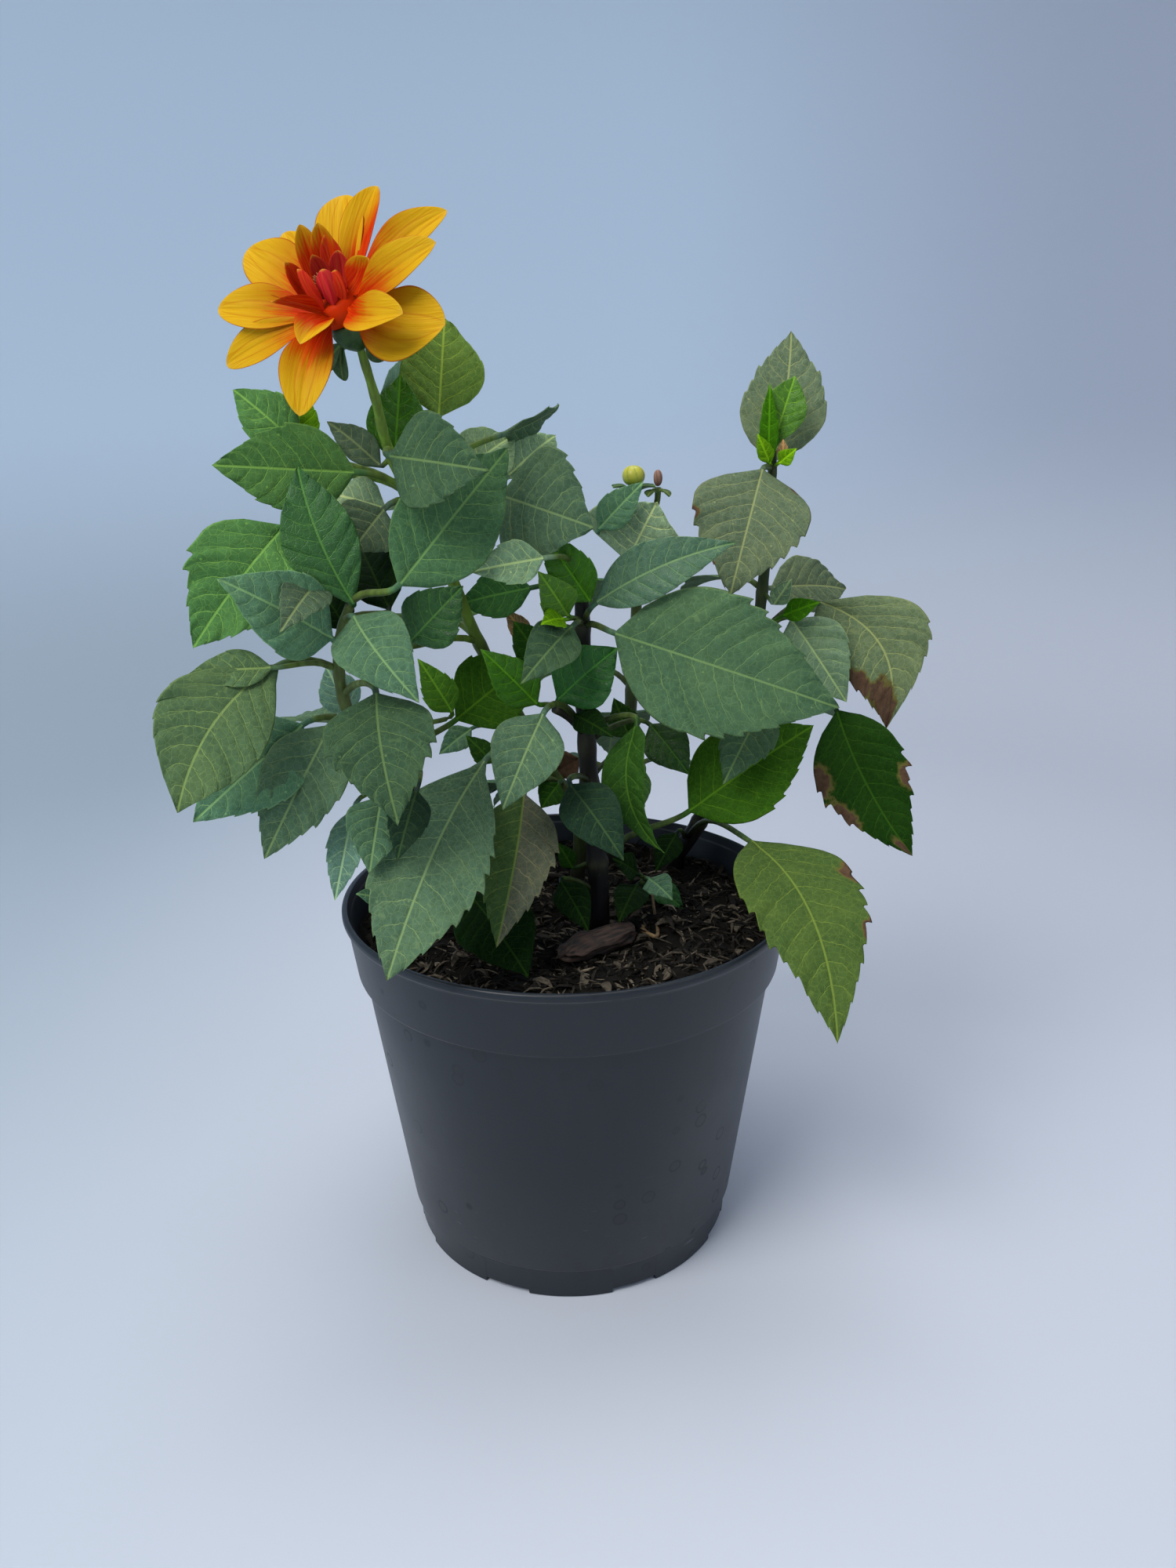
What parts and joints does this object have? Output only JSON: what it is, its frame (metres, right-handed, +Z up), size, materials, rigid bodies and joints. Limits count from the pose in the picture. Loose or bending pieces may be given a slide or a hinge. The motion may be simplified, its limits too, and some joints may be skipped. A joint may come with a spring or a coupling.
{
  "type": "potted dahlia",
  "caption": "Young dahlia in a round plastic nursery pot of bark mix: toothed green leaves on dark stems, an open two-coloured bloom on a leaning stem, and closed buds behind.",
  "frame": {"origin": "middle of the pot's foot, on the surface that it stands on", "axes": "+Z up the pot's axis; -Y towards the viewer, the side that the bloom leans to; +X to the viewer's right"},
  "size_m": [0.2924, 0.2357, 0.422],
  "materials": {
    "pot_plastic": "satin, dark grey",
    "potting_mix": "rough, damp bark mix",
    "bark": "rough, dry",
    "leaf_green": "satin, living leaf",
    "petal_yellow": "satin, living petal",
    "floret_red": "matt",
    "bud_green": "satin",
    "bud_dry": "matt"
  },
  "bodies": {
    "root": {"pot": "pot_plastic", "soil": "potting_mix", "bark_chunk": "bark", "stem_main": "leaf_green", "stem_bloom": "leaf_green", "stem_left": "leaf_green", "stem_right": "leaf_green", "stem_back": "leaf_green", "shoot_low": "leaf_green", "bloom_petals": "petal_yellow", "bloom_disc": "floret_red", "bud_yellow": "bud_green", "bud_spent": "bud_dry"}
  },
  "joints": []
}
